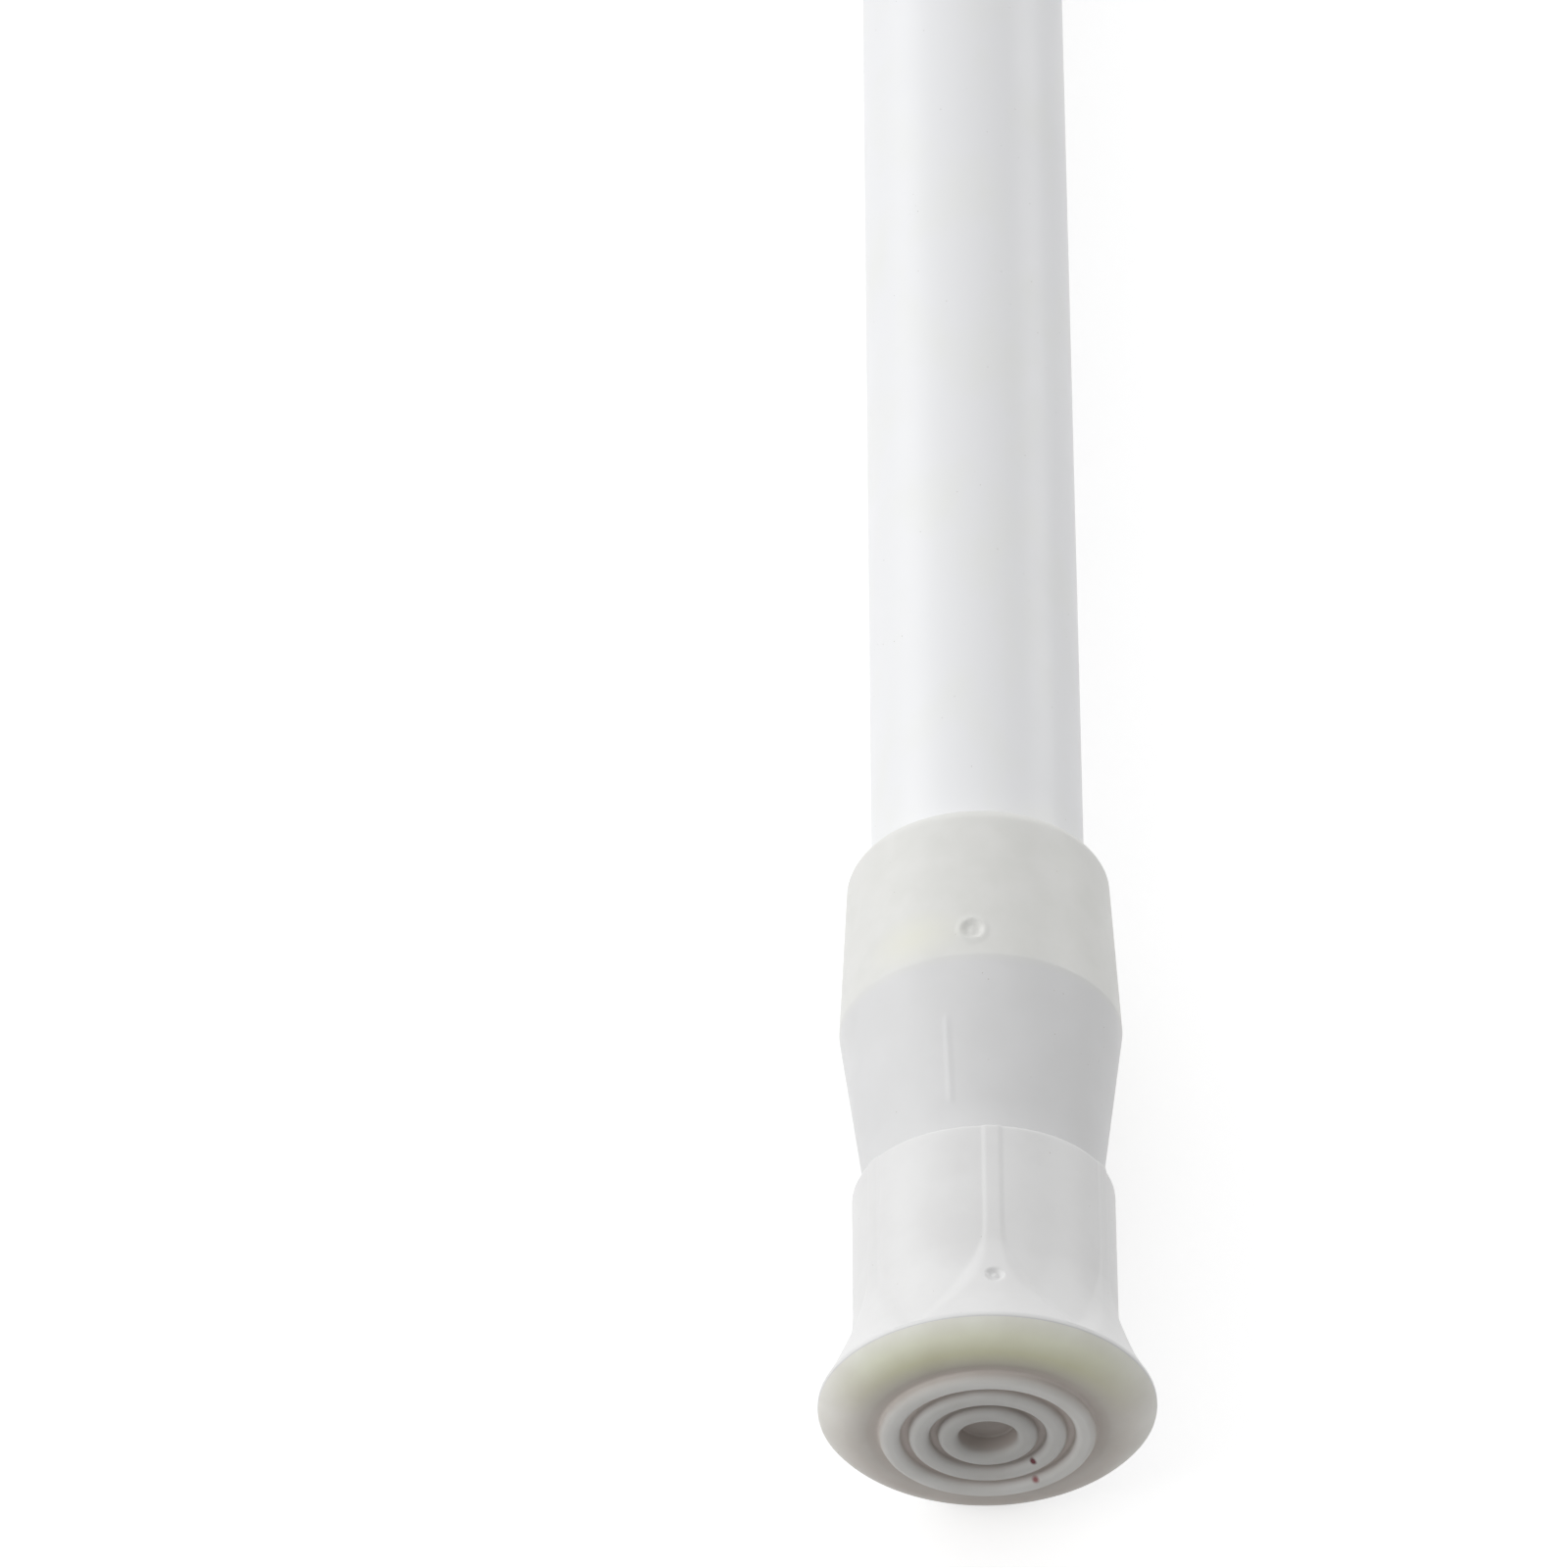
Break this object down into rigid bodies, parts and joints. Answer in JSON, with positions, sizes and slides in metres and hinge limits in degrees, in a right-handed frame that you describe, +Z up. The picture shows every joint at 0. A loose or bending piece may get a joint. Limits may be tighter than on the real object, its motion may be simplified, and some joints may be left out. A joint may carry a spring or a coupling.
{
  "type": "tension curtain rod",
  "caption": "Telescoping spring tension rod: a thin tube slides in a thick tube through a moulded collar, with flared end caps and ringed wall pads.",
  "frame": {"origin": "on the rod's axis, midway between its two wall faces with the rod closed", "axes": "+X along the rod towards the telescoping end, +Z up"},
  "size_m": [0.7, 0.0338, 0.0338],
  "materials": {
    "tube_coating": "gloss white coating on steel",
    "collar_plastic": "satin white moulding",
    "cap_plastic": "satin white moulding",
    "pad_rubber": "matt cream elastomer",
    "guide_plastic": "matt natural moulding",
    "lock_plastic": "matt dark grey moulding",
    "plain_steel": "zinc plated"
  },
  "bodies": {
    "outer": {"outer_tube": "tube_coating", "joint_collar": "collar_plastic", "outer_end_cap": "cap_plastic", "outer_wall_pad": "pad_rubber"},
    "glide": {"glide_ring": "guide_plastic"},
    "inner": {"inner_tube": "tube_coating", "inner_end_cap": "cap_plastic", "inner_wall_pad": "pad_rubber", "guide_bush": "guide_plastic", "spring_seat": "guide_plastic", "compression_spring": "plain_steel"},
    "spindle": {"spindle": "plain_steel", "spring_washer": "plain_steel", "spindle_clip": "plain_steel", "stop_washer": "plain_steel", "stop_nut": "plain_steel"},
    "sleeve": {"lock_sleeve": "lock_plastic"},
    "cone": {"lock_cone": "lock_plastic"}
  },
  "joints": [
    {"name": "telescope", "type": "slide", "parent": "outer", "child": "glide", "axis": [1, 0, 0], "range_m": [0, 0.5]},
    {"name": "twist", "type": "hinge", "parent": "glide", "child": "inner", "pos_m": [-0.2647, 0, 0], "axis": [1, 0, 0], "range_deg": [0, 360]},
    {"name": "spring_travel", "type": "slide", "parent": "inner", "child": "spindle", "axis": [1, 0, 0], "range_m": [0, 0.025], "stiffness_N_per_m": 3000, "springref_m": -0.012, "deforming": ["compression_spring"]},
    {"name": "lock_turn", "type": "hinge", "parent": "spindle", "child": "sleeve", "pos_m": [-0.3104, 0, 0], "axis": [1, 0, 0], "range_deg": [-360, 0]},
    {"name": "cone_travel", "type": "slide", "parent": "sleeve", "child": "cone", "axis": [1, 0, 0], "range_m": [0, 0.002]}
  ],
  "couplings": [
    {"joint": "lock_turn", "follows": "twist", "ratio": -1},
    {"joint": "cone_travel", "follows": "twist", "m_per_rad": 0.0003183}
  ]
}
